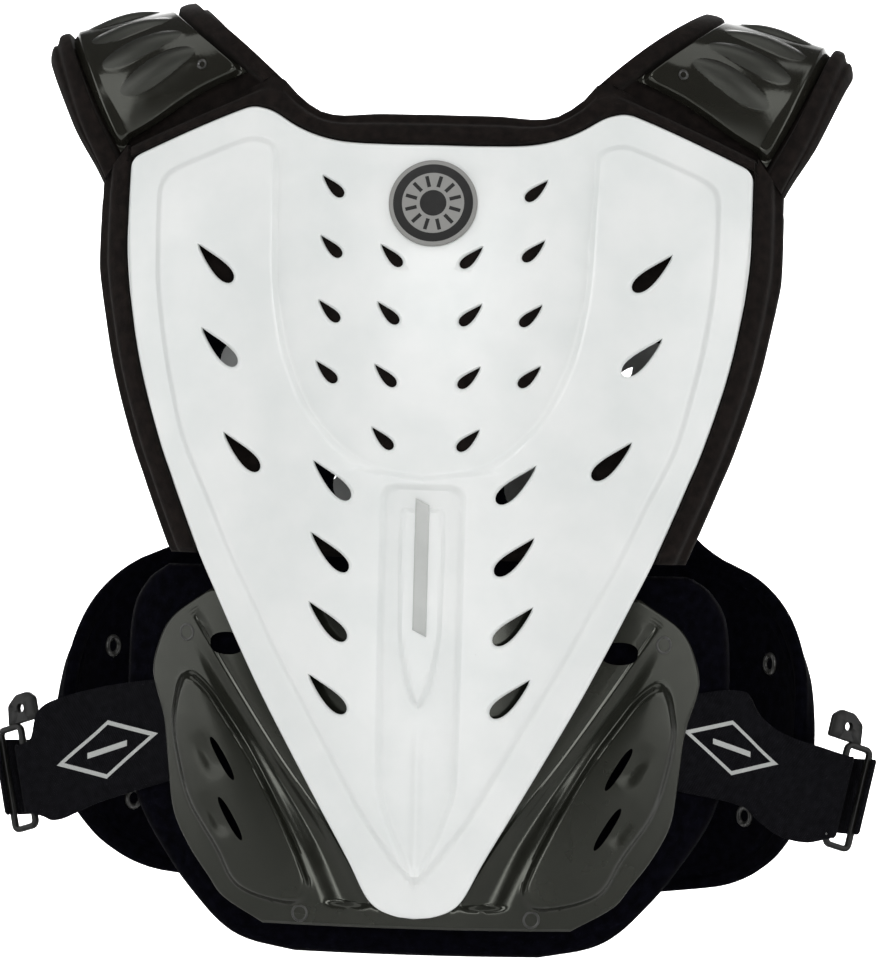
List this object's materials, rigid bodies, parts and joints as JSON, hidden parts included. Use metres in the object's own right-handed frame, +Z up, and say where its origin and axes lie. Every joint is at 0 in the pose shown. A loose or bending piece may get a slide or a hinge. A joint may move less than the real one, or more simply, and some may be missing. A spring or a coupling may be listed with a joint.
{
  "type": "roost deflector",
  "caption": "Chest and back protector with vented moulded shields over foam, shoulder bridges with ridged caps, waist wings and elastic side straps.",
  "frame": {"origin": "midway between the undersides of the two shoulder pads at their highest point, where they rest on the wearer's shoulders", "axes": "+Z up, -Y towards the chest, X across the wearer with the plane x = 0 between the two halves"},
  "size_m": [0.4204, 0.2569, 0.4498],
  "materials": {
    "white_plastic": "semi-gloss moulded white",
    "black_plastic": "glossy moulded olive black",
    "cap_plastic": "glossy moulded black with matt domes",
    "body_foam": "moulded foam faced with brown-black cloth",
    "waist_foam": "moulded foam faced with blue-black cloth",
    "webbing": "woven elastic with pale woven marks",
    "buckle_plastic": "moulded black",
    "rivet_plastic": "moulded black",
    "badge_grey": "printed grey and black",
    "label_grey": "plain pale grey"
  },
  "bodies": {
    "root": {"chest_shell": "white_plastic", "chest_liner": "body_foam", "belly_shell": "black_plastic", "belly_liner": "waist_foam", "back_liner": "waist_foam", "back_shell": "white_plastic", "badge": "badge_grey", "label_strip": "label_grey", "shoulder_pad_left": "body_foam", "shoulder_cap_left": "cap_plastic", "strap_left": "webbing", "buckle_left": "buckle_plastic", "hook_left": "buckle_plastic", "rear_strap_left": "webbing", "cap_rivet_left": "rivet_plastic", "belly_rivet_left": "rivet_plastic", "arm_rivet_left": "rivet_plastic", "wing_rivet_upper_left": "rivet_plastic", "wing_rivet_lower_left": "rivet_plastic", "shoulder_pad_right": "body_foam", "shoulder_cap_right": "cap_plastic", "strap_right": "webbing", "buckle_right": "buckle_plastic", "hook_right": "buckle_plastic", "rear_strap_right": "webbing", "cap_rivet_right": "rivet_plastic", "belly_rivet_right": "rivet_plastic", "arm_rivet_right": "rivet_plastic", "wing_rivet_upper_right": "rivet_plastic", "wing_rivet_lower_right": "rivet_plastic"}
  },
  "joints": []
}
